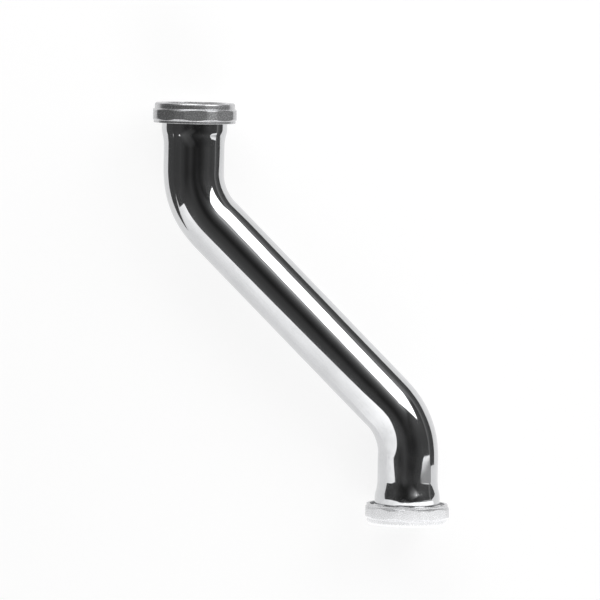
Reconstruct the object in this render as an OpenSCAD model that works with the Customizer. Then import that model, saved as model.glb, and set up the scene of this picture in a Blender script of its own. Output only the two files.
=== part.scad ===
// Double offset drain tube: one tube with two bends, and a slip joint at each end.
// It lies flat, each nut on one of its eight flats, with the middle of the tube over the origin.
// Both ends run along Y. The inlet is at -X and +Y, and the outlet is its half turn about Z.
// Each end is a swelled socket with a rolled male thread. A nut on the thread presses a washer
// onto the rim, and the next tube slides in through the nut and the washer.
// The thread is drawn as a plain collar at its outside diameter.

/* [Tube] */
// Outside diameter of the tube, and of the tubes that slide into it
tube_od = 38.1; // [30:0.05:52]
// Wall thickness of the tube, also where it is swelled
wall = 1.14; // [0.6:0.01:1.6]
// Angle of each bend
bend_angle = 45; // [15:1:80]
// Radius of each bend, at the middle of the tube
bend_r = 46; // [32:1:120]
// How much bending draws in the tube's radius
bend_draw = 0.05; // [0.02:0.01:0.2]
// Straight length between the bends
diagonal_l = 157.4; // [20:0.1:400]
// Straight length between each bend and its neck
end_straight_l = 13; // [2:0.1:200]

/* [Socket] */
// Radial room around the tube that slides into a socket
socket_gap = 0.38; // [0.05:0.01:0.5]
// Length of the neck, where the tube swells out to the socket
neck_l = 12.5; // [6:0.1:30]
// Length of the plain socket, between the neck and the step
socket_l = 5.2; // [3:0.1:40]
// Length of the step, where the socket flares out to the thread
step_l = 1.4; // [0.8:0.1:4]

/* [Thread] */
// Height of the thread's outside over the socket
thread_rise = 2.83; // [2.3:0.01:4]
// Depth of the thread
thread_depth = 1; // [0.5:0.05:1.1]
// Length of the thread, from the step to the rim
thread_l = 6.2; // [4:0.1:9]
// Radial running clearance between the male thread and the nut
thread_gap = 0.08; // [0.02:0.01:0.1]
// Bevel of the rim
rim_bevel = 0.3; // [0.1:0.05:0.5]

/* [Slip nut] */
// Height of the nut
nut_h = 12.7; // [11:0.1:20]
// Thickness of the metal between the thread and the middle of a flat
nut_wall = 2.57; // [1.8:0.01:5]
// Height of the nut's round corners over the middle of a flat
corner_rise = 0.95; // [0.3:0.05:1.9]
// Thickness of the lip that holds the washer
lip_t = 1.8; // [1:0.1:3]
// Radial room around the next tube in the lip's hole
lip_gap = 0.55; // [0.1:0.05:1.5]
// Height of the round shoulder at the lip
shoulder_h = 3.7; // [2:0.1:4.5]
// How far the shoulder lies inside the middle of a flat
shoulder_step = 0.95; // [0:0.05:1.2]
// Radius of the shoulder's rounded edge
shoulder_round = 1.3; // [0.2:0.1:1.9]
// Height of the ledge between the shoulder and the flats
ledge_h = 0.9; // [0.2:0.1:1.5]
// Height of the round foot at the nut's open side
foot_h = 1.5; // [0.6:0.1:2.5]
// How far the foot lies inside the middle of a flat
foot_step = 0.45; // [0:0.05:1.2]
// Height of the bevel between the foot and the flats
foot_bevel_h = 1.1; // [0.2:0.1:1.5]
// Bevel of the nut's sharp edges, at the mouth, the foot and the hole
nut_edge = 0.35; // [0.1:0.05:0.5]

/* [Washer] */
// Thickness of the washer between the lip and the rim
washer_t = 2.9; // [1.5:0.1:4]
// Radial room around the next tube in the washer
washer_bore_gap = 0.45; // [0.05:0.05:0.5]
// Radial room between the washer and the nut's thread
washer_rim_gap = 0.3; // [0.1:0.05:0.6]
// Length of the washer's nose, which reaches into the rim
nose_l = 2.2; // [1:0.1:4]
// Radial room around the nose at the rim
nose_gap = 0.3; // [0.2:0.05:0.5]
// How much the nose narrows to its tip
nose_taper = 0.5; // [0.1:0.05:0.6]

/* [Hidden] */

$fn = 96;
arc_fn = 360;
cut = 1;
flats = 8;
// Length of each straight that reaches into the slightly thinner bend
bend_seat = 0.3;

tube_or = tube_od / 2;
tube_ir = tube_or - wall;
socket_ir = tube_or + socket_gap;
socket_or = socket_ir + wall;
thread_r = socket_or + thread_rise;
collar_ir = thread_r - thread_depth - wall;

// Two equal arcs make the neck's S, and the wall keeps its thickness around their centres.
neck_rise = socket_or - tube_or;
neck_arc_r = (neck_l * neck_l + neck_rise * neck_rise) / (4 * neck_rise);

// The step's inner cone is its outer cone moved in by the wall.
step_slope = atan2(thread_rise, step_l);
step_in = wall * tan(step_slope / 2);
step_in_l = (collar_ir - socket_ir) / tan(step_slope);

// Places along an end, counted from the bend
socket_at = end_straight_l + neck_l;
step_at = socket_at + socket_l;
thread_at = step_at + step_l;
rim_at = thread_at + thread_l;
nut_at = rim_at + washer_t + lip_t - nut_h;

nut_bore_r = thread_r + thread_gap;
flat_r = nut_bore_r + nut_wall;
corner_r = flat_r + corner_rise;
foot_r = flat_r - foot_step;
shoulder_r = flat_r - shoulder_step;
hole_r = tube_or + lip_gap;
lip_at = nut_h - lip_t;
ledge_at = nut_h - shoulder_h - ledge_h;

washer_bore_r = tube_or + washer_bore_gap;
washer_r = thread_r - thread_depth - washer_rim_gap;
nose_r = collar_ir - nose_gap;

// Where each bend meets the straight at its end, from the middle of the tube
bend_x = diagonal_l / 2 * sin(bend_angle) + bend_r * (1 - cos(bend_angle));
bend_y = diagonal_l / 2 * cos(bend_angle) + bend_r * sin(bend_angle);

// Half section of a swell from r_low to r_high: a hollow arc, then a round one
module swell(r_low, r_high, length, hollow_r, round_r) {
    split = length * hollow_r / (hollow_r + round_r);
    difference() {
        square([r_high, split]);
        translate([r_low + hollow_r, 0])
            circle(hollow_r, $fn = arc_fn);
    }
    intersection() {
        translate([0, split])
            square([r_high, length - split]);
        translate([r_high - round_r, length])
            circle(round_r, $fn = arc_fn);
    }
}

// Outside of one end, from just inside the bend to the rim
module end_outside() {
    rotate_extrude() {
        translate([0, -bend_seat])
            square([tube_or, end_straight_l + bend_seat]);
        translate([0, end_straight_l])
            swell(tube_or, socket_or, neck_l, neck_arc_r, neck_arc_r);
        polygon([
            [0, socket_at],
            [socket_or, socket_at],
            [socket_or, step_at],
            [thread_r, thread_at],
            [thread_r, rim_at - rim_bevel],
            [thread_r - rim_bevel, rim_at],
            [0, rim_at]
        ]);
    }
}

// Inside of one end, past the rim
module end_inside() {
    step_in_at = step_at + step_in;
    rotate_extrude() {
        translate([0, -bend_seat])
            square([tube_ir, end_straight_l + bend_seat]);
        translate([0, end_straight_l])
            swell(tube_ir, socket_ir, neck_l, neck_arc_r + wall, neck_arc_r - wall);
        polygon([
            [0, socket_at],
            [socket_ir, socket_at],
            [socket_ir, step_in_at],
            [collar_ir, step_in_at + step_in_l],
            [collar_ir, rim_at + cut],
            [0, rim_at + cut]
        ]);
    }
}

// The straight between the bends, and a bend at each of its ends
module bent_run(r) {
    rotate([90, 0, bend_angle])
        cylinder(r = r, h = diagonal_l + 2 * bend_seat, center = true);
    for (turn = [0, 180])
        rotate([0, 0, turn])
            translate([bend_r - bend_x, bend_y, 0])
                rotate([0, 0, 180])
                    rotate_extrude(angle = bend_angle)
                        translate([bend_r, 0])
                            circle(r - bend_draw);
}

// Puts a shape drawn up Z onto one end of the tube: turn is 0 at the inlet and 180 at the outlet
module on_end(turn) {
    rotate([0, 0, turn])
        translate([-bend_x, bend_y, 0])
            rotate([-90, 0, 0])
                children();
}

// Lifts the tube's axis to the height at which the nuts' flats lie on the ground
module on_flats() {
    translate([0, 0, flat_r])
        children();
}

module drain_tube() {
    color([0.78, 0.79, 0.8])
        on_flats()
            difference() {
                union() {
                    bent_run(tube_or);
                    for (turn = [0, 180])
                        on_end(turn)
                            end_outside();
                }
                bent_run(tube_ir);
                for (turn = [0, 180])
                    on_end(turn)
                        end_inside();
            }
}

// Round outline of the nut, with its open side down
module nut_outside() {
    rotate_extrude() {
        polygon([
            [0, 0],
            [foot_r - nut_edge, 0],
            [foot_r, nut_edge],
            [foot_r, foot_h],
            [corner_r, foot_h + foot_bevel_h],
            [corner_r, ledge_at],
            [shoulder_r, ledge_at + ledge_h],
            [shoulder_r, nut_h - shoulder_round],
            [shoulder_r - shoulder_round, nut_h],
            [0, nut_h]
        ]);
        translate([shoulder_r - shoulder_round, nut_h - shoulder_round])
            circle(shoulder_round);
    }
}

module nut_inside() {
    rotate_extrude()
        polygon([
            [0, -cut],
            [nut_bore_r + nut_edge + cut, -cut],
            [nut_bore_r, nut_edge],
            [nut_bore_r, lip_at],
            [hole_r, lip_at],
            [hole_r, nut_h - nut_edge],
            [hole_r + nut_edge + cut, nut_h + cut],
            [0, nut_h + cut]
        ]);
}

module slip_nut() {
    color([0.74, 0.75, 0.77])
        difference() {
            intersection() {
                nut_outside();
                rotate([0, 0, 180 / flats])
                    cylinder(r = flat_r / cos(180 / flats), h = nut_h, $fn = flats);
            }
            nut_inside();
        }
}

// Washer with its flat side up, against the lip, and its nose down into the rim
module slip_washer() {
    color([0.13, 0.13, 0.14])
        rotate_extrude()
            polygon([
                [washer_bore_r, -nose_l],
                [nose_r - nose_taper, -nose_l],
                [nose_r, 0],
                [washer_r, 0],
                [washer_r, washer_t],
                [washer_bore_r, washer_t]
            ]);
}

module placed_nut(turn) {
    on_flats()
        on_end(turn)
            translate([0, 0, nut_at])
                slip_nut();
}

module placed_washer(turn) {
    on_flats()
        on_end(turn)
            translate([0, 0, rim_at])
                slip_washer();
}

module inlet_washer() {
    placed_washer(0);
}

module inlet_nut() {
    placed_nut(0);
}

module outlet_washer() {
    placed_washer(180);
}

module outlet_nut() {
    placed_nut(180);
}

drain_tube();
inlet_washer();
inlet_nut();
outlet_washer();
outlet_nut();
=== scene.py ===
"""Double offset drain tube: the plated tube, its two slip nuts and washers, and a white set."""

import math

import bpy
import numpy as np
from bpy.props import FloatProperty, FloatVectorProperty, PointerProperty
from mathutils import Matrix, Vector


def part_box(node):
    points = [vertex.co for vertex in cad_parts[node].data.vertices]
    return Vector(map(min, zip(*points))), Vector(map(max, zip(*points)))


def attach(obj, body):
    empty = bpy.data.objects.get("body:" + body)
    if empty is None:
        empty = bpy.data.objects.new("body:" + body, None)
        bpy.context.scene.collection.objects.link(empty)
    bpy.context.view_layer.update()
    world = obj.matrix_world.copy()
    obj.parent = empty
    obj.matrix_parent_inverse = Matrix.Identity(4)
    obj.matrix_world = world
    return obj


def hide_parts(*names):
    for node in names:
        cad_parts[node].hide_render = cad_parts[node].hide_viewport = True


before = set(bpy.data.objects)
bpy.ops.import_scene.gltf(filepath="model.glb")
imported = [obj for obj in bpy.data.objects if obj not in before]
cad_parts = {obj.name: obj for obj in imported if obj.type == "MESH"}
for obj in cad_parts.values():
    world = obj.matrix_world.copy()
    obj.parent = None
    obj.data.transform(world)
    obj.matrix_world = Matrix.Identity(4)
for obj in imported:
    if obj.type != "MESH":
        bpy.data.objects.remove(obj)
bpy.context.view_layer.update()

bl_info = {
    "name": "Double Offset Drain Tube",
    "version": (1, 0, 0),
    "blender": (4, 5, 0),
    "location": "3D View > Sidebar > Drain Tube",
    "description": "Builds a chrome-plated double offset drain tube with slip nuts and washers",
    "category": "Add Mesh",
}

ENDS = {"inlet": 1, "outlet": -1}
MM = 0.001
INCH = 0.0254

# The set, in metres
PAPER_REACH = 4.0
CARD_FOOT = 1 * MM
TABLE_GAP = 0.5 * MM
FLAG_REACH = 3.0
FLAG_RISE = 0.32
# Edges of the two glowing cards, which paint the light of a white table, in the plane just past the
# outlet, as places in X and Z
TABLE_EDGE = (
    (-0.5, CARD_FOOT),
    (-0.53, 0.32),
    (-0.02, 0.18),
    (0.04, 0.2),
    (0.14, 0.2),
    (0.22, 0.16),
    (0.31, 0.05),
    (0.31, CARD_FOOT),
)
RIGHT_BOARD_EDGE = ((0.32, CARD_FOOT), (0.31, 0.27), (0.42, 0.3), (0.6, 0.31), (1.0, CARD_FOOT))
# Corners of the black flags, as places in X and Y. The far ones stand higher.
FLAGS = {
    "right_flag": {
        "near": ((0.018, 0.22), (0.018, 0.105), (0.156, -0.033), (0.156, -0.1)),
        "far": ((FLAG_REACH, -0.37), (FLAG_REACH, FLAG_REACH)),
    },
    "top_flag": {
        "near": ((-0.155, 0.22), (0.018, 0.22)),
        "far": ((FLAG_REACH, FLAG_REACH), (-FLAG_REACH, FLAG_REACH)),
    },
    "left_flag": {
        "near": ((-0.155, -0.02), (-0.155, 0.22)),
        "far": ((-FLAG_REACH, FLAG_REACH), (-FLAG_REACH, -0.6)),
    },
}
# One corner of each light box, and the two corners beside it
LIGHT_BOXES = {
    "right_box": ((1.376, 0.386, 0.694), (0.811, 0.437, 1.295), (0.847, 1.101, 0.136)),
    "back_box": ((-0.71, 1.0, 0.25), (0.055, 1.2, 0.25), (-0.55, 0.64, 0.85)),
    "front_box": ((0.71, -1.0, 0.25), (-0.055, -1.2, 0.25), (0.55, -0.64, 0.85)),
}


def size(name, description, default):
    """A length that a user may change, in metres."""
    return FloatProperty(
        name=name, description=description, default=default, unit="LENGTH", precision=5
    )


def share(name, description, default):
    """A plain number that a user may change."""
    return FloatProperty(name=name, description=description, default=default, precision=3)


def colour(name, description, default):
    """A colour that a user may change."""
    return FloatVectorProperty(
        name=name, description=description, default=default, subtype="COLOR", min=0, max=1
    )


class TubeSizes(bpy.types.PropertyGroup):
    """Sizes of the bent tube and of the socket at each of its ends."""

    outside_r: size("Tube Radius", "Outside radius of the tube", 19.05 * MM)
    wall: size("Wall", "Thickness of the tube's wall", 1.14 * MM)
    bend_r: size("Bend Radius", "Radius of each bend at the middle of the tube", 46 * MM)
    bend_draw: size("Bend Draw", "How much bending draws in the radius", 0.05 * MM)
    end_straight: size("End Straight", "Straight length between a bend and its neck", 15.3 * MM)
    neck_l: size("Neck Length", "Length over which the tube swells to the socket", 12 * MM)
    neck_hollow: share("Neck Hollow", "Share of the neck that is hollow before it turns round", 0.65)
    socket_gap: size("Socket Gap", "Radial room around the tube that slides in", 0.38 * MM)
    socket_l: size("Socket Length", "Length of the plain socket", 3.4 * MM)
    step_l: size("Step Length", "Length of the flare between socket and thread", 1.4 * MM)
    step_round: size("Step Rounding", "Radius of the flare's soft corners", 0.7 * MM)
    rim_round: size("Rim Rounding", "Radius of the rim's edges", 0.3 * MM)
    oval: share("Bend Ovality", "Share by which a bend flattens", 0.006)
    waves: size("Waviness", "Height of the slow waves left by drawing and polishing", 0.02 * MM)


class ThreadSizes(bpy.types.PropertyGroup):
    """Sizes of the slip joint thread, rolled into the tube and cast into the nut."""

    crest_r: size("Crest Radius", "Outside radius of the male thread", 23.4 * MM)
    depth: size("Thread Depth", "Height of the thread from root to crest", 1 * MM)
    pitch: size("Pitch", "Length of one turn of the thread", INCH / 11.5)
    length: size("Thread Length", "Length of the male thread, up to the rim", 6.2 * MM)
    fade: size("Thread Fade", "Length over which the thread runs in and out", 0.9 * MM)


class NutSizes(bpy.types.PropertyGroup):
    """Sizes of an octagonal slip nut, counted from its open side."""

    height: size("Nut Height", "Height from the open side to the lip's face", 12.7 * MM)
    flat_r: size("Flat Radius", "Distance from the axis to a flat", 26.05 * MM)
    corner_r: size("Corner Radius", "Distance from the axis to a round corner", 27 * MM)
    bore_r: size("Bore Radius", "Radius at the root of the nut's thread", 23.52 * MM)
    lip_t: size("Lip Thickness", "Thickness of the lip that holds the washer", 1.8 * MM)
    hole_r: size("Hole Radius", "Radius of the hole in the lip", 19.6 * MM)
    shoulder_r: size("Shoulder Radius", "Radius of the round shoulder at the lip", 25.1 * MM)
    shoulder_h: size("Shoulder Height", "Height of the round shoulder", 3.7 * MM)
    shoulder_round: size("Shoulder Rounding", "Radius of the shoulder's rounded edge", 1.3 * MM)
    ledge_h: size("Ledge Height", "Height of the ledge between flats and shoulder", 0.9 * MM)
    foot_r: size("Foot Radius", "Radius of the round foot at the open side", 25.6 * MM)
    foot_h: size("Foot Height", "Height of the round foot", 1.5 * MM)
    bevel_h: size("Foot Bevel", "Height of the bevel between foot and flats", 1.1 * MM)
    edge: size("Edge", "Radius of the nut's small edges", 0.35 * MM)
    soft: size("Softness", "How far plating softens the edges of the flats", 0.14 * MM)


class WasherSizes(bpy.types.PropertyGroup):
    """Sizes of a slip joint washer, counted from the rim that it seals."""

    thickness: size("Washer Thickness", "Thickness between the lip and the rim", 2.86 * MM)
    bore_r: size("Washer Bore", "Radius of the washer's bore", 19.5 * MM)
    outside_r: size("Washer Radius", "Outside radius of the washer", 22.1 * MM)
    nose_l: size("Nose Length", "Length of the nose that reaches into the rim", 2.2 * MM)
    nose_r: size("Nose Radius", "Radius of the nose at the rim", 20.96 * MM)
    nose_tip_r: size("Nose Tip Radius", "Radius of the nose at its tip", 20.46 * MM)
    edge: size("Washer Edge", "Radius of the washer's moulded edges", 0.2 * MM)
    seat: size("Washer Seat", "Room left between the washer and what it lies on", 0.02 * MM)


class Finishes(bpy.types.PropertyGroup):
    """Colours of the finishes."""

    chrome: colour("Chrome", "Bright chrome plate", (0.64, 0.645, 0.655))
    chrome_dim: colour("Dim Chrome", "Chrome under a thin haze", (0.56, 0.565, 0.575))
    cast_chrome: colour("Cast Chrome", "Chrome plate on the cast nuts", (0.70, 0.70, 0.71))
    brass: colour("Brass", "Bare brass inside the tube", (0.56, 0.42, 0.22))
    brass_stain: colour("Stained Brass", "Darkened brass inside the tube", (0.28, 0.19, 0.10))
    # Bare cast metal, made far darker than zinc: painted shade in the nuts' hollows
    shaded_zinc: colour("Zinc", "Bare cast metal inside the nuts", (0.09, 0.09, 0.092))
    rubber: colour("Rubber", "Black washer rubber", (0.022, 0.022, 0.024))
    rubber_bloom: colour("Rubber Bloom", "Pale bloom on the washer rubber", (0.07, 0.068, 0.066))
    floor: colour("Floor", "Paper under the tube", (0.2, 0.2, 0.2))


class PhotoView(bpy.types.PropertyGroup):
    """Where the camera stands, how it aims and how strong the lights are."""

    distance: size("Distance", "Height of the camera over the floor", 3.4)
    side: size("Side Step", "How far the camera stands off towards +X", -0.136)
    beyond: size("Forward Step", "How far the camera stands off towards +Y", 0.221)
    aim_x: size("Aim X", "X of the point at the picture's centre", -0.0009)
    aim_y: size("Aim Y", "Y of the point at the picture's centre", 0.0086)
    roll: FloatProperty(
        name="Roll",
        description="Turn of the camera about its axis",
        default=math.radians(-1.15),
        subtype="ANGLE",
    )
    lens: share("Lens", "Focal length in millimetres on a 36 mm sensor", 323.4)
    box_light: share("Box Light", "Brightness of the light boxes", 3.2)
    board_light: share("Board Light", "Brightness of the white board", 1.05)
    paper_light: share("Paper Light", "Brightness of the paper where rays see it", 0.85)


def sizes():
    """The scene's settings, by group."""
    return bpy.context.scene.drain_tube


class DrainTubeSettings(bpy.types.PropertyGroup):
    """Every size, colour and stage value of the drain tube."""

    tube: PointerProperty(type=TubeSizes)
    thread: PointerProperty(type=ThreadSizes)
    nut: PointerProperty(type=NutSizes)
    washer: PointerProperty(type=WasherSizes)
    finish: PointerProperty(type=Finishes)
    view: PointerProperty(type=PhotoView)


# Places that come from the frame


def end_axis():
    """Distance of an end's axis from the middle in X, and its height, from the inlet nut's box."""
    low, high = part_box("inlet_nut")
    middle = (low + high) / 2
    return -middle.x, middle.z


def rim_place():
    """Y of the tube's rim at the inlet."""
    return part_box("drain_tube")[1].y


def lip_place():
    """Y of the lip's outer face at the inlet."""
    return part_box("inlet_nut")[1].y


# Outlines and meshes


def arc_corner(before, corner, after, radius, steps):
    """Points of a round corner between two straight stretches of an outline."""
    p0, p1, p2 = (np.array(p, float) for p in (before, corner, after))
    d0, d1 = (p0 - p1), (p2 - p1)
    l0, l1 = np.linalg.norm(d0), np.linalg.norm(d1)
    d0, d1 = d0 / l0, d1 / l1
    half = math.acos(max(-1.0, min(1.0, float(d0 @ d1)))) / 2
    reach = min(radius / math.tan(half), 0.49 * l0, 0.49 * l1)
    radius = reach * math.tan(half)
    middle = p1 + (d0 + d1) / np.linalg.norm(d0 + d1) * radius / math.sin(half)
    a, b = p1 + d0 * reach - middle, p1 + d1 * reach - middle
    sweep = math.atan2(a[0] * b[1] - a[1] * b[0], float(a @ b))
    turns = np.linspace(0, sweep, steps)
    beside = np.array((-a[1], a[0]))
    return [middle + a * math.cos(t) + beside * math.sin(t) for t in turns]


def outline(corners, closed=True, steps=5):
    """An outline through corners of (along, radius, rounding, spacing).

    Rounding is the corner's radius, and spacing the most between points up to the next corner.
    """
    count = len(corners)
    stretches = []
    for i, (along, radius, rounding, spacing) in enumerate(corners):
        inner = closed or 0 < i < count - 1
        if inner and rounding > 0:
            before, after = corners[i - 1][:2], corners[(i + 1) % count][:2]
            turn = arc_corner(before, (along, radius), after, rounding, steps)
        else:
            turn = [np.array((along, radius), float)]
        stretches.append((turn, spacing))
    points = []
    for i, (turn, spacing) in enumerate(stretches):
        points.extend(turn)
        if i + 1 < count or closed:
            start, end = turn[-1], stretches[(i + 1) % count][0][0]
            parts = max(1, math.ceil(np.linalg.norm(end - start) / spacing))
            points.extend(start + (end - start) * k / parts for k in range(1, parts))
    return np.array(points)


def ring_mesh(name, points, marks):
    """A closed mesh from rows of points, where rows and columns both run round.

    marks are attributes of the points: single numbers or vectors.
    """
    rows, columns = points.shape[:2]
    index = np.arange(rows * columns).reshape(rows, columns)
    right, up = np.roll(index, -1, 1), np.roll(index, -1, 0)
    faces = np.stack([index, right, np.roll(up, -1, 1), up], -1).reshape(-1, 4)
    mesh = bpy.data.meshes.new(name)
    mesh.from_pydata(points.reshape(-1, 3).tolist(), [], faces.tolist())
    for mark, values in marks.items():
        kind, slot = ("FLOAT_VECTOR", "vector") if values.ndim == 3 else ("FLOAT", "value")
        attribute = mesh.attributes.new(mark, kind, "POINT")
        attribute.data.foreach_set(slot, values.astype(np.float32).ravel())
    mesh.polygons.foreach_set("use_smooth", [True] * len(mesh.polygons))
    if mesh_volume(points.reshape(-1, 3), faces) < 0:
        mesh.flip_normals()
    mesh.update()
    piece = bpy.data.objects.new(name, mesh)
    bpy.context.scene.collection.objects.link(piece)
    return piece


def mesh_volume(points, faces):
    """Signed volume of a closed mesh of quads."""
    a, b, c, d = (points[faces[:, k]] for k in range(4))
    return float((np.cross(a, b) * c).sum() + (np.cross(a, c) * d).sum())


def place_on_end(points, end):
    """Points drawn up Z, moved onto an end's axis. The outlet is the inlet's half turn."""
    side, height = end_axis()
    x, y, z = points[..., 0], points[..., 1], points[..., 2]
    turn = ENDS[end]
    return np.stack([turn * (x - side), turn * z, height - y], -1)


def smooth_step(value, low, high):
    """0 below low and 1 above high, with an S between them."""
    t = np.clip((value - low) / (high - low), 0, 1)
    return t * t * (3 - 2 * t)


def thread_wave(along, angle, pitch):
    """Height of the rolled thread from 0 at its root to 1 at its crest."""
    wave = np.cos(2 * np.pi * along / pitch - angle)
    return 0.5 + 0.5 * wave * (1.25 - 0.25 * wave * wave)


# The tube


def neck(low, high, length, hollow_r, round_r, steps):
    """The swell from one radius to another: a hollow arc, then a round one."""
    split = length * hollow_r / (hollow_r + round_r)
    along = np.linspace(0, length, steps)
    hollow = low + hollow_r - np.sqrt(np.maximum(hollow_r**2 - along**2, 0))
    rounded = high - round_r + np.sqrt(np.maximum(round_r**2 - (length - along) ** 2, 0))
    return np.stack([along, np.where(along < split, hollow, rounded)], -1)


def end_outline():
    """Half section of one end, from the bend outside, round the rim and back to the bend inside."""
    tube, thread = sizes().tube, sizes().thread
    wall = tube.wall
    inside_r = tube.outside_r - wall
    socket_in = tube.outside_r + tube.socket_gap
    socket_out = socket_in + wall
    root = thread.crest_r - thread.depth
    rise = socket_out - tube.outside_r
    both_r = (tube.neck_l**2 + rise**2) / (2 * rise)
    hollow_r = both_r * tube.neck_hollow
    round_r = both_r - hollow_r
    socket_at = tube.end_straight + tube.neck_l
    step_at = socket_at + tube.socket_l
    thread_at = step_at + tube.step_l
    rim_at = thread_at + thread.length
    slope = math.atan2(root - socket_out, tube.step_l)
    step_in = wall * math.tan(slope / 2)
    fine = thread.pitch / 16
    soft = tube.step_round

    outer_neck = neck(tube.outside_r, socket_out, tube.neck_l, hollow_r, round_r, 30)
    inner_neck = neck(inside_r, socket_in, tube.neck_l, hollow_r + wall, round_r - wall, 18)
    outer_neck[:, 0] += tube.end_straight
    inner_neck[:, 0] += tube.end_straight
    rim = outline(
        [
            (socket_at, socket_out, 0, 1 * MM),
            (step_at, socket_out, soft, 0.3 * MM),
            (thread_at, root, soft, fine),
            (rim_at, root, tube.rim_round, 0.3 * MM),
            (rim_at, root - wall, tube.rim_round, fine),
            (thread_at + step_in, root - wall, soft, 0.3 * MM),
            (step_at + step_in, socket_in, soft, 1 * MM),
            (socket_at, socket_in, 0, 1 * MM),
        ],
        closed=False,
        steps=6,
    )
    straight = np.linspace(0, tube.end_straight, 6, endpoint=False)
    outside = np.stack([straight, np.full_like(straight, tube.outside_r)], -1)
    inside = np.stack([straight[::-1], np.full_like(straight, inside_r)], -1)
    points = np.concatenate([outside, outer_neck[:-1], rim, inner_neck[::-1][1:], inside])
    outside_rows = len(outside) + len(outer_neck) - 1 + int(np.argmax(rim[:, 0])) + 3
    return points, outside_rows, (thread_at, rim_at)


def bent_path(along):
    """Middle line of the inlet half, for lengths counted from the middle of the tube.

    Gives the places in X and Y, the directions there, and the lengths of diagonal and bend.
    """
    tube = sizes().tube
    side, _ = end_axis()
    _, _, (_, rim_at) = end_outline()
    bend_y = rim_place() - rim_at
    # The bend turns by the angle at which the diagonal passes through the middle.
    angle = bend_angle(side, bend_y, tube.bend_r)
    diagonal = (bend_y - tube.bend_r * math.sin(angle)) / math.cos(angle)
    bend_l = tube.bend_r * angle
    turn = np.clip(along - diagonal, 0, bend_l) / tube.bend_r
    heading = angle - turn
    run = np.minimum(along, diagonal)
    past = np.maximum(along - diagonal - bend_l, 0)
    x = -run * math.sin(angle) - tube.bend_r * (np.cos(heading) - math.cos(angle))
    y = run * math.cos(angle) + tube.bend_r * (math.sin(angle) - np.sin(heading)) + past
    return np.stack([x, y], -1), heading, diagonal, bend_l


def bend_angle(side, bend_y, bend_r):
    """Angle of each bend, from where the bend ends and its radius."""
    low, high = 0.1, 1.5
    for _ in range(60):
        angle = (low + high) / 2
        reach = (bend_y - bend_r * math.sin(angle)) * math.tan(angle) + bend_r * (1 - math.cos(angle))
        low, high = (angle, high) if reach < side else (low, angle)
    return (low + high) / 2


def half_tube(columns):
    """Points and marks of the inlet half, from the tube's middle outside to its middle inside."""
    tube, thread = sizes().tube, sizes().thread
    section, outside_rows, (thread_at, rim_at) = end_outline()
    _, _, diagonal, bend_l = bent_path(np.zeros(1))

    def run(in_diagonal, in_bend):
        """Places from the middle to the end of the bend, by how many lie in each stretch."""
        straight = np.linspace(0, diagonal, in_diagonal, endpoint=False)
        return np.concatenate([straight, diagonal + np.linspace(0, bend_l, in_bend, endpoint=False)])

    run_out, run_in = run(26, 34), run(8, 20)
    end_at = diagonal + bend_l
    along = np.concatenate([run_out, end_at + section[:, 0], run_in[::-1]])
    outside = np.full(len(run_out), tube.outside_r)
    inside = np.full(len(run_in), tube.outside_r - tube.wall)
    radius = np.concatenate([outside, section[:, 1], inside])
    outer = np.arange(len(along)) < len(run_out) + outside_rows
    in_bend = smooth_step(along, diagonal - 3 * MM, diagonal + 5 * MM) * (
        1 - smooth_step(along, end_at - 5 * MM, end_at + 3 * MM)
    )
    radius = radius - tube.bend_draw * in_bend

    angle = np.arange(columns) * 2 * math.pi / columns
    place = along - end_at
    rises = smooth_step(place, thread_at - 0.2 * MM, thread_at + thread.fade) * (
        1 - smooth_step(place, rim_at - thread.fade, rim_at - 0.1 * MM)
    )
    wave = thread_wave(place[:, None] - rim_at, angle[None, :], thread.pitch)
    grown = radius[:, None] + thread.depth * rises[:, None] * wave
    grown = grown * (1 - tube.oval * in_bend[:, None] * np.cos(2 * angle)[None, :])

    centre, heading, _, _ = bent_path(along)
    across = np.stack([np.cos(heading), np.sin(heading)], -1)
    flat = centre[:, None, :] + across[:, None, :] * (grown * np.cos(angle))[..., None]
    _, height = end_axis()
    up = height - grown * np.sin(angle)
    points = np.concatenate([flat, up[..., None]], -1)
    straightened = np.stack(
        [
            radius[:, None] * np.cos(angle),
            radius[:, None] * np.sin(angle),
            np.repeat(along[:, None], columns, 1),
        ],
        -1,
    )
    depth_in = np.where(outer, -1.0, rim_at - place)
    bare = np.repeat(depth_in[:, None], columns, 1)
    return points, straightened, bare


def whole_tube(columns):
    """Points and marks of the whole tube: the inlet half, and the outlet half as its half turn."""
    points, straightened, bare = half_tube(columns)
    swap = (columns // 2 - np.arange(columns)) % columns
    other = (points * [-1, -1, 1])[:, swap][::-1]
    other_straight = (straightened * [-1, 1, -1])[:, swap][::-1]
    other_bare = bare[:, swap][::-1]
    points = np.concatenate([points, other[1:-1]])
    straightened = np.concatenate([straightened, other_straight[1:-1]])
    bare = np.concatenate([bare, other_bare[1:-1]])
    return points, straightened, bare


def slow_waves(straightened):
    """Slow waves over the tube, between -1 and 1, from a few crossing ripples."""
    x, y, z = (straightened[..., k] / MM for k in range(3))
    return (
        np.sin(z / 5.1 + x / 9.0 + 0.4) * 0.35
        + np.sin(z / 8.3 - y / 11.0 + 1.9) * 0.4
        + np.sin(x / 6.5 + y / 8.5 + z / 17.0) * 0.25
    )


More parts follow.
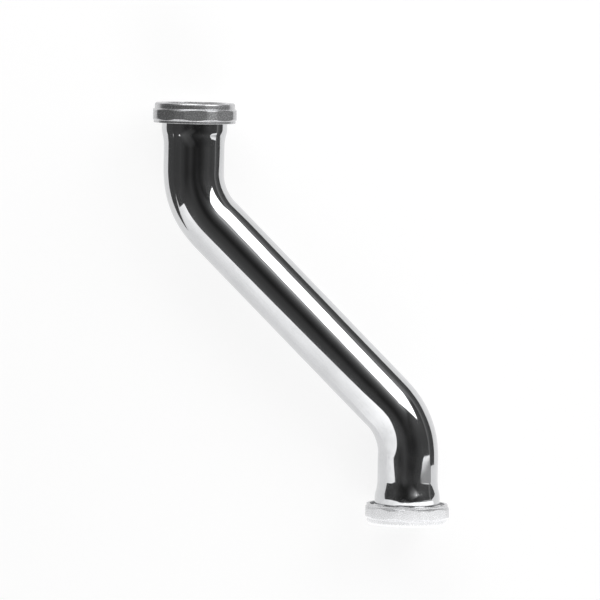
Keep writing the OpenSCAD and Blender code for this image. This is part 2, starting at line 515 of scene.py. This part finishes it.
class DRAIN_OT_tube(bpy.types.Operator):
    """Build the bent tube with its sockets and rolled threads."""

    bl_idname = "drain.tube"
    bl_label = "Drain Tube"

    def execute(self, context):
        points, straightened, bare = whole_tube(144)
        ridge = slow_waves(straightened) * sizes().tube.waves * (bare < 0)
        out = straightened * [1, 1, 0]
        out = out / np.linalg.norm(out, axis=-1, keepdims=True)
        plain = np.abs(straightened[..., 2]) < np.abs(straightened[..., 2]).max() - 20 * MM
        scale = 1 + (ridge * plain / sizes().tube.outside_r)[..., None]
        centre = points.mean(axis=1, keepdims=True)
        points = centre + (points - centre) * scale
        piece = ring_mesh("chrome_tube", points, {"straightened": straightened, "depth_in": bare})
        piece.data.materials.append(plated_tube())
        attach(piece, "tube")
        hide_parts("drain_tube")
        return {"FINISHED"}


# The nuts


def nut_columns():
    """Angles round the nut, closer together where a flat meets a round corner."""
    nut = sizes().nut
    crease = math.degrees(math.acos(nut.flat_r / nut.corner_r))
    side = [0, 2.5, 5, 7.5, 10, 12, crease - 2, crease - 1.1, crease - 0.5, crease]
    side += [crease + 0.5, crease + 1.1, crease + 2, 19, 20.7]
    sector = sorted({-a for a in side if a} | set(side)) + [22.5]
    return np.radians(np.concatenate([np.array(sector) + 45 * k for k in range(8)]))


def nut_outline():
    """Section of the nut, from its open side up the outside and back down the thread."""
    nut, thread = sizes().nut, sizes().thread
    ledge_at = nut.height - nut.shoulder_h - nut.ledge_h
    lip_at = nut.height - nut.lip_t
    tiny, edge = 0.12 * MM, nut.edge
    return outline(
        [
            (0, nut.foot_r, edge, 0.5 * MM),
            (nut.foot_h, nut.foot_r, edge, 0.07 * MM),
            (nut.foot_h + nut.bevel_h, nut.corner_r, 0.5 * MM, 0.5 * MM),
            (ledge_at, nut.corner_r, edge, 0.07 * MM),
            (ledge_at + nut.ledge_h, nut.shoulder_r, edge, 0.5 * MM),
            (nut.height, nut.shoulder_r, nut.shoulder_round, 0.6 * MM),
            (nut.height, nut.hole_r, edge, 0.6 * MM),
            (lip_at, nut.hole_r, tiny, 0.8 * MM),
            (lip_at, nut.bore_r, tiny, thread.pitch / 14),
            (0, nut.bore_r, edge, 0.4 * MM),
        ],
        steps=7,
    )


def nut_points():
    """Points of a nut drawn up Z from its open side, with their marks."""
    nut, thread = sizes().nut, sizes().thread
    section = nut_outline()
    angle = nut_columns()
    along, radius = section[:, 0][:, None], section[:, 1][:, None]
    from_flat = (angle + math.pi / 8) % (math.pi / 4) - math.pi / 8
    flats = nut.flat_r / np.cos(from_flat)[None, :]
    # A soft minimum of the round outline and the flats
    mix = np.clip(0.5 + 0.5 * (flats - radius) / nut.soft, 0, 1)
    cut = flats * (1 - mix) + radius * mix - nut.soft * mix * (1 - mix)
    grown = np.where(radius > nut.bore_r + 1 * MM, cut, np.repeat(radius, len(angle), 1))
    # The male thread's wave, which the nut's thread follows with room to spare
    lip_at = nut.height - nut.lip_t
    rim_in_nut = lip_at - (lip_place() - nut.lip_t - rim_place())
    wave = thread_wave(along - rim_in_nut, angle[None, :], thread.pitch)
    in_bore = np.abs(radius - nut.bore_r) < 0.01 * MM
    run_in = smooth_step(along, 0.4 * MM, 1.4 * MM)
    run_out = 1 - smooth_step(along, lip_at - 3.2 * MM, lip_at - 2.2 * MM)
    grown = grown - thread.depth * in_bore * run_in * run_out * (1 - wave)
    x, y = grown * np.cos(angle), grown * np.sin(angle)
    z = np.repeat(along, len(angle), 1)
    inside = (radius < nut.bore_r + 0.1 * MM) & (along < lip_at + 0.01 * MM)
    bare = np.repeat(np.where(inside, 1.0, 0.0), len(angle), 1)
    turned = np.stack([grown, z, np.zeros_like(z)], -1)
    return np.stack([x, y, z], -1), turned, bare


class DRAIN_OT_nuts(bpy.types.Operator):
    """Build the two octagonal slip nuts."""

    bl_idname = "drain.nuts"
    bl_label = "Slip Nuts"

    def execute(self, context):
        points, turned, bare = nut_points()
        points = points + [0, 0, lip_place() - sizes().nut.height]
        finish = plated_nut()
        for end in ENDS:
            marks = {"turned": turned, "bare": bare}
            piece = ring_mesh(f"{end}_slip_nut", place_on_end(points, end), marks)
            piece.data.materials.append(finish)
            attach(piece, f"{end}_nut")
            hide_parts(f"{end}_nut")
        return {"FINISHED"}


# The washers


def washer_points(columns):
    """Points of a washer drawn up Z, with its flat side up and its nose down."""
    washer = sizes().washer
    edge = washer.edge
    section = outline(
        [
            (-washer.nose_l, washer.bore_r, edge, 0.5 * MM),
            (-washer.nose_l, washer.nose_tip_r, edge, 0.5 * MM),
            (washer.seat, washer.nose_r, 0.3 * MM, 0.5 * MM),
            (washer.seat, washer.outside_r, edge, 0.5 * MM),
            (washer.seat + washer.thickness, washer.outside_r, edge, 0.5 * MM),
            (washer.seat + washer.thickness, washer.bore_r, edge, 0.5 * MM),
        ]
    )
    angle = np.arange(columns) * 2 * math.pi / columns
    radius = section[:, 1][:, None]
    along = np.repeat(section[:, 0][:, None], columns, 1)
    return np.stack([radius * np.cos(angle), radius * np.sin(angle), along], -1)


class DRAIN_OT_washers(bpy.types.Operator):
    """Build the two slip joint washers inside the nuts."""

    bl_idname = "drain.washers"
    bl_label = "Washers"

    def execute(self, context):
        points = washer_points(128) + [0, 0, rim_place()]
        finish = washer_rubber()
        for end in ENDS:
            piece = ring_mesh(f"{end}_seal", place_on_end(points, end), {})
            piece.data.materials.append(finish)
            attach(piece, f"{end}_seal")
            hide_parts(f"{end}_washer")
        return {"FINISHED"}


# Materials


class Socket:
    """A shader socket that takes part in sums, so that shader maths reads as Python."""

    def __init__(self, paint, socket):
        self.paint = paint
        self.socket = socket

    def _maths(self, operation, first, second):
        return self.paint.add("ShaderNodeMath", {"operation": operation}, {0: first, 1: second})

    def __add__(self, other):
        return self._maths("ADD", self, other)

    def __sub__(self, other):
        return self._maths("SUBTRACT", self, other)

    def __mul__(self, other):
        return self._maths("MULTIPLY", self, other)

    def __rsub__(self, other):
        return self._maths("SUBTRACT", other, self)

    __radd__ = __add__
    __rmul__ = __mul__


class Paint:
    """The node tree of one material or of the world."""

    def __init__(self, owner):
        owner.use_nodes = True
        self.tree = owner.node_tree
        self.tree.nodes.clear()

    def add(self, kind, settings=None, inputs=None, output=0):
        """Adds a node: its settings first, then the values or links of its sockets."""
        node = self.tree.nodes.new(kind)
        for name, value in (settings or {}).items():
            if name == "stops":
                self.set_stops(node.color_ramp, value)
            else:
                setattr(node, name, value)
        for name, value in (inputs or {}).items():
            if isinstance(value, Socket):
                self.tree.links.new(value.socket, node.inputs[name])
            else:
                node.inputs[name].default_value = value
        return Socket(self, node.outputs[output]) if node.outputs else node

    @staticmethod
    def set_stops(ramp, stops):
        """Gives a colour ramp its stops, each of (place, grey)."""
        while len(ramp.elements) < len(stops):
            ramp.elements.new(1)
        for element, (place, grey) in zip(ramp.elements, stops):
            element.position = place
            element.color = (grey, grey, grey, 1)

    def mark(self, name, output="Vector"):
        """An attribute of the mesh."""
        return self.add("ShaderNodeAttribute", {"attribute_name": name}, output=output)

    def stretched(self, vector, scale):
        """A vector with each of its parts scaled."""
        return self.add("ShaderNodeVectorMath", {"operation": "MULTIPLY"}, {0: vector, 1: scale})

    def part(self, vector, axis):
        """One part of a vector."""
        return self.add("ShaderNodeSeparateXYZ", {}, {"Vector": vector}, output=axis)

    def along(self, vector, way):
        """How far a vector reaches along a way."""
        dot = {"operation": "DOT_PRODUCT"}
        return self.add("ShaderNodeVectorMath", dot, {0: vector, 1: way}, output="Value")

    def noise(self, vector, scale, detail=2.0, roughness=0.5):
        """Noise between 0 and 1."""
        inputs = {"Vector": vector, "Scale": scale, "Detail": detail, "Roughness": roughness}
        return self.add("ShaderNodeTexNoise", {}, inputs)

    def ramp(self, value, *stops):
        """A grey ramp over a value."""
        return self.add("ShaderNodeValToRGB", {"stops": stops}, {"Fac": value})

    def blend(self, factor, first, second):
        """A mix of two colours, each a socket or three numbers."""
        mixed = {"data_type": "RGBA"}
        inputs = {"Factor": factor}
        for name, value in ((6, first), (7, second)):
            inputs[name] = value if isinstance(value, Socket) else (*value, 1)
        return self.add("ShaderNodeMix", mixed, inputs, output=2)

    def bump(self, height, strength, distance):
        """A normal tilted by a height."""
        inputs = {"Height": height, "Strength": strength, "Distance": distance}
        return self.add("ShaderNodeBump", {}, inputs)

    def surface(self, inputs):
        """A Principled surface."""
        return self.add("ShaderNodeBsdfPrincipled", {}, inputs)

    def mix(self, factor, first, second):
        """A mix of two surfaces."""
        return self.add("ShaderNodeMixShader", {}, {0: factor, 1: first, 2: second})

    def finish(self, surface, kind="ShaderNodeOutputMaterial"):
        """Ends the tree in its output."""
        self.add(kind, {}, {"Surface": surface})


def new_paint(name):
    """A new material and its tree."""
    material = bpy.data.materials.new(name)
    return material, Paint(material)


def plated_tube():
    """Bright chrome with polishing lines, haze and smudges, and bare brass inside the tube."""
    finish = sizes().finish
    material, paint = new_paint("chrome_on_brass_tube")
    straight = paint.mark("straightened")
    lines = paint.noise(paint.stretched(straight, (1400, 1400, 26)), 1.0, 3.0, 0.6)
    hair = paint.ramp(lines, (0.60, 0.0), (0.72, 1.0))
    haze = paint.ramp(paint.noise(straight, 45.0, 4.0, 0.6), (0.42, 0.0), (0.68, 1.0))
    wiped = paint.stretched(straight, (120, 120, 70))
    smudge = paint.ramp(paint.noise(wiped, 1.0, 3.0, 0.7), (0.56, 0.0), (0.7, 1.0))
    peel = paint.noise(straight, 900.0, 2.0, 0.5)
    tone = paint.blend(haze * 0.5 + smudge * 0.3, finish.chrome, finish.chrome_dim)
    relief = paint.bump(peel * 0.6 + lines * 0.4, 0.12, 0.02 * MM)
    mirror = paint.surface(
        {
            "Base Color": tone,
            "Metallic": 1.0,
            "Roughness": 0.03 + hair * 0.10 + haze * 0.02 + smudge * 0.05,
            "Normal": relief,
        }
    )
    glow = paint.surface({"Base Color": tone, "Metallic": 1.0, "Roughness": 0.34, "Normal": relief})
    chrome = paint.mix(0.03 + haze * 0.05 + smudge * 0.04, mirror, glow)
    run_down = paint.stretched(straight, (90, 90, 40))
    stain = paint.ramp(paint.noise(run_down, 1.0, 5.0, 0.65), (0.35, 0.0), (0.7, 1.0))
    brass = paint.surface(
        {
            "Base Color": paint.blend(stain, finish.brass, finish.brass_stain),
            "Metallic": 1.0,
            "Roughness": 0.32 + stain * 0.25,
            "Normal": paint.bump(lines + stain * 0.4, 0.3, 0.05 * MM),
        }
    )
    depth_in = paint.mark("depth_in", "Fac")
    bare = paint.add(
        "ShaderNodeMapRange",
        {"interpolation_type": "SMOOTHSTEP"},
        {"Value": depth_in + stain * 10 * MM, "From Min": 16 * MM, "From Max": 30 * MM},
    )
    paint.finish(paint.mix(bare, chrome, brass))
    return material


def plated_nut():
    """Satin chrome with the fine grain of the casting and faint turning rings, and bare metal inside,
    darkened with painted shade.
    """
    finish = sizes().finish
    material, paint = new_paint("chrome_on_cast_nut")
    place = paint.add("ShaderNodeTexCoord", output="Object")
    turned = paint.mark("turned")
    grain = paint.noise(place, 1500.0, 3.0, 0.6)
    cloud = paint.noise(place, 160.0, 3.0, 0.55)
    rings = paint.noise(paint.stretched(turned, (2600, 2600, 0)), 1.0, 2.0, 0.6)
    rough = paint.ramp(grain, (0.36, 0.0), (0.64, 1.0))
    tone = paint.blend(cloud, finish.cast_chrome, finish.chrome_dim)
    relief = paint.bump(grain * 0.4 + cloud + rings * 0.5, 0.12, 0.03 * MM)
    mirror = paint.surface(
        {
            "Base Color": tone,
            "Metallic": 1.0,
            "Roughness": 0.14 + rough * 0.14 + cloud * 0.08,
            "Normal": relief,
        }
    )
    satin = paint.surface({"Base Color": tone, "Metallic": 1.0, "Roughness": 0.52, "Normal": relief})
    chrome = paint.mix(0.44 + rough * 0.1, mirror, satin)
    # Bare metal inside the nut, rougher and far darker than zinc: painted shade in the hollow
    shaded_zinc = paint.surface(
        {
            "Base Color": paint.blend(cloud, finish.shaded_zinc, finish.chrome_dim),
            "Metallic": 1.0,
            "Roughness": 0.42 + grain * 0.2,
            "Normal": paint.bump(grain, 0.4, 0.04 * MM),
        }
    )
    bare = paint.mark("bare", "Fac")
    paint.finish(paint.mix(bare, chrome, shaded_zinc))
    return material


def washer_rubber():
    """Black rubber with a dusty bloom and the matt grain of its mould."""
    finish = sizes().finish
    material, paint = new_paint("washer_rubber")
    place = paint.add("ShaderNodeTexCoord", output="Object")
    bloom = paint.ramp(paint.noise(place, 220.0, 4.0, 0.65), (0.45, 0.0), (0.75, 1.0))
    grain = paint.noise(place, 3200.0, 2.0, 0.6)
    surface = paint.surface(
        {
            "Base Color": paint.blend(bloom, finish.rubber, finish.rubber_bloom),
            "Roughness": 0.52 + bloom * 0.2 + grain * 0.1,
            "Normal": paint.bump(grain, 0.35, 0.05 * MM),
        }
    )
    paint.finish(surface)
    return material


# The set


def stage_sheet(name, corners, material):
    """A flat stage piece from its corners."""
    mesh = bpy.data.meshes.new(name)
    mesh.from_pydata([tuple(c) for c in corners], [], [tuple(range(len(corners)))])
    mesh.update()
    mesh.materials.append(material)
    sheet = bpy.data.objects.new(name, mesh)
    bpy.context.scene.collection.objects.link(sheet)
    return sheet


def reflector(name, corners, material):
    """A card beside the set that only shows in what is polished: it is out of the camera's sight."""
    card = stage_sheet(name, corners, material)
    card.visible_camera = False
    card.visible_diffuse = False
    card.visible_shadow = False
    return card


def paper_material():
    """White paper: the camera, metal and glass see it white, and it keeps the tube's shadow."""
    material, paint = new_paint("white_paper")
    kinds = ("Camera", "Glossy", "Transmission")
    camera, glossy, through = (
        paint.add("ShaderNodeLightPath", output=f"Is {kind} Ray") for kind in kinds
    )
    seen = (camera + glossy + through) * sizes().view.paper_light
    white = paint.add("ShaderNodeEmission", {}, {"Strength": seen})
    floor = (*sizes().finish.floor, 1)
    paper = paint.surface({"Base Color": floor, "Roughness": 0.9, "Specular IOR Level": 0.0})
    paint.finish(paint.add("ShaderNodeAddShader", {}, {0: white, 1: paper}))
    return material


def glowing_table_card():
    """Glowing card for the white table, painted light: brighter towards its top, in patches, and near
    the outlet's nut.
    """
    material, paint = new_paint("glowing_table_card")
    place = paint.add("ShaderNodeTexCoord", output="Object")
    height = paint.part(place, "Z")
    patchy_glow = paint.noise(place, 12.0, 3.0, 0.6)
    glow_near_nut = paint.ramp(paint.part(place, "X") + 0.5, (0.44, 0.0), (0.55, 0.5))
    # Painted light: the card glows as a lit white table would, more with height, in patches and near the
    # nut
    painted_glow = (0.8 + height * 1.4 + patchy_glow * 0.35) * (1 + glow_near_nut) * sizes().view.board_light
    paint.finish(paint.add("ShaderNodeEmission", {}, {"Strength": painted_glow}))
    return material


def glowing_right_card():
    """Glowing card at the right, painted light: dim low down near the tube, and bright further off."""
    material, paint = new_paint("glowing_right_card")
    place = paint.add("ShaderNodeTexCoord", output="Object")
    # Painted light: the card's glow grows with X and Z
    painted_glow = paint.ramp(paint.part(place, "X") + paint.part(place, "Z"), (0.6, 0.3), (0.76, 1.0))
    paint.finish(paint.add("ShaderNodeEmission", {}, {"Strength": painted_glow * 1.3}))
    return material


def black_flag():
    """Black flag with a faint painted glow for the light of the right box, stronger towards +X and +Y.
    """
    material, paint = new_paint("black_flag")
    place = paint.add("ShaderNodeTexCoord", output="Object")
    # Painted light: a faint glow that grows towards +X and +Y, for the right box's spill
    painted_spill = paint.ramp(paint.along(place, (0.7, 0.7, 0)), (0.12, 0.07), (0.6, 0.2))
    paint.finish(paint.add("ShaderNodeEmission", {}, {"Strength": painted_spill}))
    return material


def light_box(name, corner, along, across, brightness):
    """A soft light box from one of its corners and the two corners beside that one."""
    corner, along, across = Vector(corner), Vector(along), Vector(across)
    x, y = along - corner, across - corner
    facing = x.cross(y).normalized()
    centre = (along + across) / 2
    if facing.dot(centre) < 0:
        x, y, facing = y, x, -facing
    lamp = bpy.data.lights.new(name, "AREA")
    lamp.shape = "RECTANGLE"
    lamp.size = x.length
    lamp.size_y = y.length
    # An area light of P watts has a brightness of P over pi times its area.
    lamp.energy = brightness * math.pi * lamp.size * lamp.size_y
    box = bpy.data.objects.new(name, lamp)
    bpy.context.scene.collection.objects.link(box)
    turn = Matrix((x.normalized(), facing.cross(x).normalized(), facing)).transposed()
    box.matrix_world = Matrix.Translation(centre) @ turn.to_4x4()
    box.visible_camera = False
    return box


def dark_room():
    """The room over the set: dark overhead and grey at its sides, with a glow round the right box."""
    world = bpy.data.worlds.new("dark_room")
    bpy.context.scene.world = world
    paint = Paint(world)
    way = paint.add("ShaderNodeTexCoord", output="Generated")
    height = paint.part(way, "Z")
    wall = paint.ramp(
        height, (0.0, 1.0), (0.055, 1.0), (0.065, 0.07), (0.6, 0.08), (0.9, 0.022), (1.0, 0.01)
    )
    clutter = paint.noise(way, 3.2, 3.0, 0.6)
    # The glow lies over and under the box, which stands towards +X and +Y, more than beside it.
    half = math.sqrt(0.5)
    aside = paint.along(way, (-half, half, 0)) * 0.5 + 0.5
    towards = paint.along(way, (half, half, 0)) * 0.5 + 0.5
    beside = paint.ramp(aside, (0.38, 0.0), (0.44, 1.0), (0.56, 1.0), (0.66, 0.0))
    over = paint.ramp(
        towards,
        (0.15, 0.06),
        (0.38, 0.05),
        (0.48, 0.01),
        (0.53, 0.01),
        (0.6, 0.04),
        (0.65, 0.08),
        (0.7, 0.16),
        (0.74, 0.28),
        (0.76, 0.55),
    )
    under = paint.ramp(height, (0.0, 0.3), (0.2, 0.5), (0.27, 1.0))
    light = wall * (0.45 + clutter * 1.1) + beside * over * under
    background = paint.add("ShaderNodeBackground", {}, {"Strength": light})
    paint.finish(background, "ShaderNodeOutputWorld")


def photo_camera():
    """The camera of the photo, which looks down on the lying tube."""
    view = sizes().view
    data = bpy.data.cameras.new("photo_camera")
    data.sensor_width = 36.0
    data.lens = view.lens
    data.clip_start = 0.1
    data.clip_end = 50.0
    camera = bpy.data.objects.new("photo_camera", data)
    bpy.context.scene.collection.objects.link(camera)
    _, height = end_axis()
    place = Vector((view.side, view.beyond, view.distance))
    forward = (Vector((view.aim_x, view.aim_y, height)) - place).normalized()
    top = Vector((math.sin(view.roll), math.cos(view.roll), 0))
    right = forward.cross(top).normalized()
    turn = Matrix((right, right.cross(forward), -forward)).transposed()
    camera.matrix_world = Matrix.Translation(place) @ turn.to_4x4()
    bpy.context.scene.camera = camera


class DRAIN_OT_stage(bpy.types.Operator):
    """Set up the white paper, the cards, the light boxes, the dark room and the camera."""

    bl_idname = "drain.stage"
    bl_label = "Stage"

    def execute(self, context):
        around = ((-1, -1), (1, -1), (1, 1), (-1, 1))
        paper = [(x * PAPER_REACH, y * PAPER_REACH, 0) for x, y in around]
        stage_sheet("paper", paper, paper_material())
        table = -lip_place() - TABLE_GAP
        reflector("table", [(x, table, z) for x, z in TABLE_EDGE], glowing_table_card())
        reflector("glowing_right_card", [(x, table, z) for x, z in RIGHT_BOARD_EDGE], glowing_right_card())
        black = black_flag()
        for name, corners in FLAGS.items():
            near = [(x, y, CARD_FOOT) for x, y in corners["near"]]
            far = [(x, y, FLAG_RISE) for x, y in corners["far"]]
            reflector(name, near + far, black)
        for name, corners in LIGHT_BOXES.items():
            light_box(name, *corners, sizes().view.box_light)
        dark_room()
        photo_camera()
        context.scene.view_settings.view_transform = "Standard"
        return {"FINISHED"}


class DRAIN_PT_panel(bpy.types.Panel):
    """The drain tube's pieces and sizes."""

    bl_idname = "DRAIN_PT_panel"
    bl_label = "Drain Tube"
    bl_space_type = "VIEW_3D"
    bl_region_type = "UI"
    bl_category = "Drain Tube"

    def draw(self, context):
        for operator in OPERATORS:
            self.layout.operator(operator.bl_idname)
        for name in DrainTubeSettings.__annotations__:
            group = getattr(sizes(), name)
            box = self.layout.box()
            box.label(text=name.title())
            for setting in type(group).__annotations__:
                box.prop(group, setting)


GROUPS = (TubeSizes, ThreadSizes, NutSizes, WasherSizes, Finishes, PhotoView, DrainTubeSettings)
OPERATORS = (DRAIN_OT_tube, DRAIN_OT_nuts, DRAIN_OT_washers, DRAIN_OT_stage)
CLASSES = (*GROUPS, *OPERATORS, DRAIN_PT_panel)


def register():
    for cls in CLASSES:
        bpy.utils.register_class(cls)
    bpy.types.Scene.drain_tube = PointerProperty(type=DrainTubeSettings)


def unregister():
    del bpy.types.Scene.drain_tube
    for cls in reversed(CLASSES):
        bpy.utils.unregister_class(cls)


def main():
    register()
    bpy.ops.drain.stage()
    bpy.ops.drain.tube()
    bpy.ops.drain.nuts()
    bpy.ops.drain.washers()


if __name__ == "__main__":
    main()
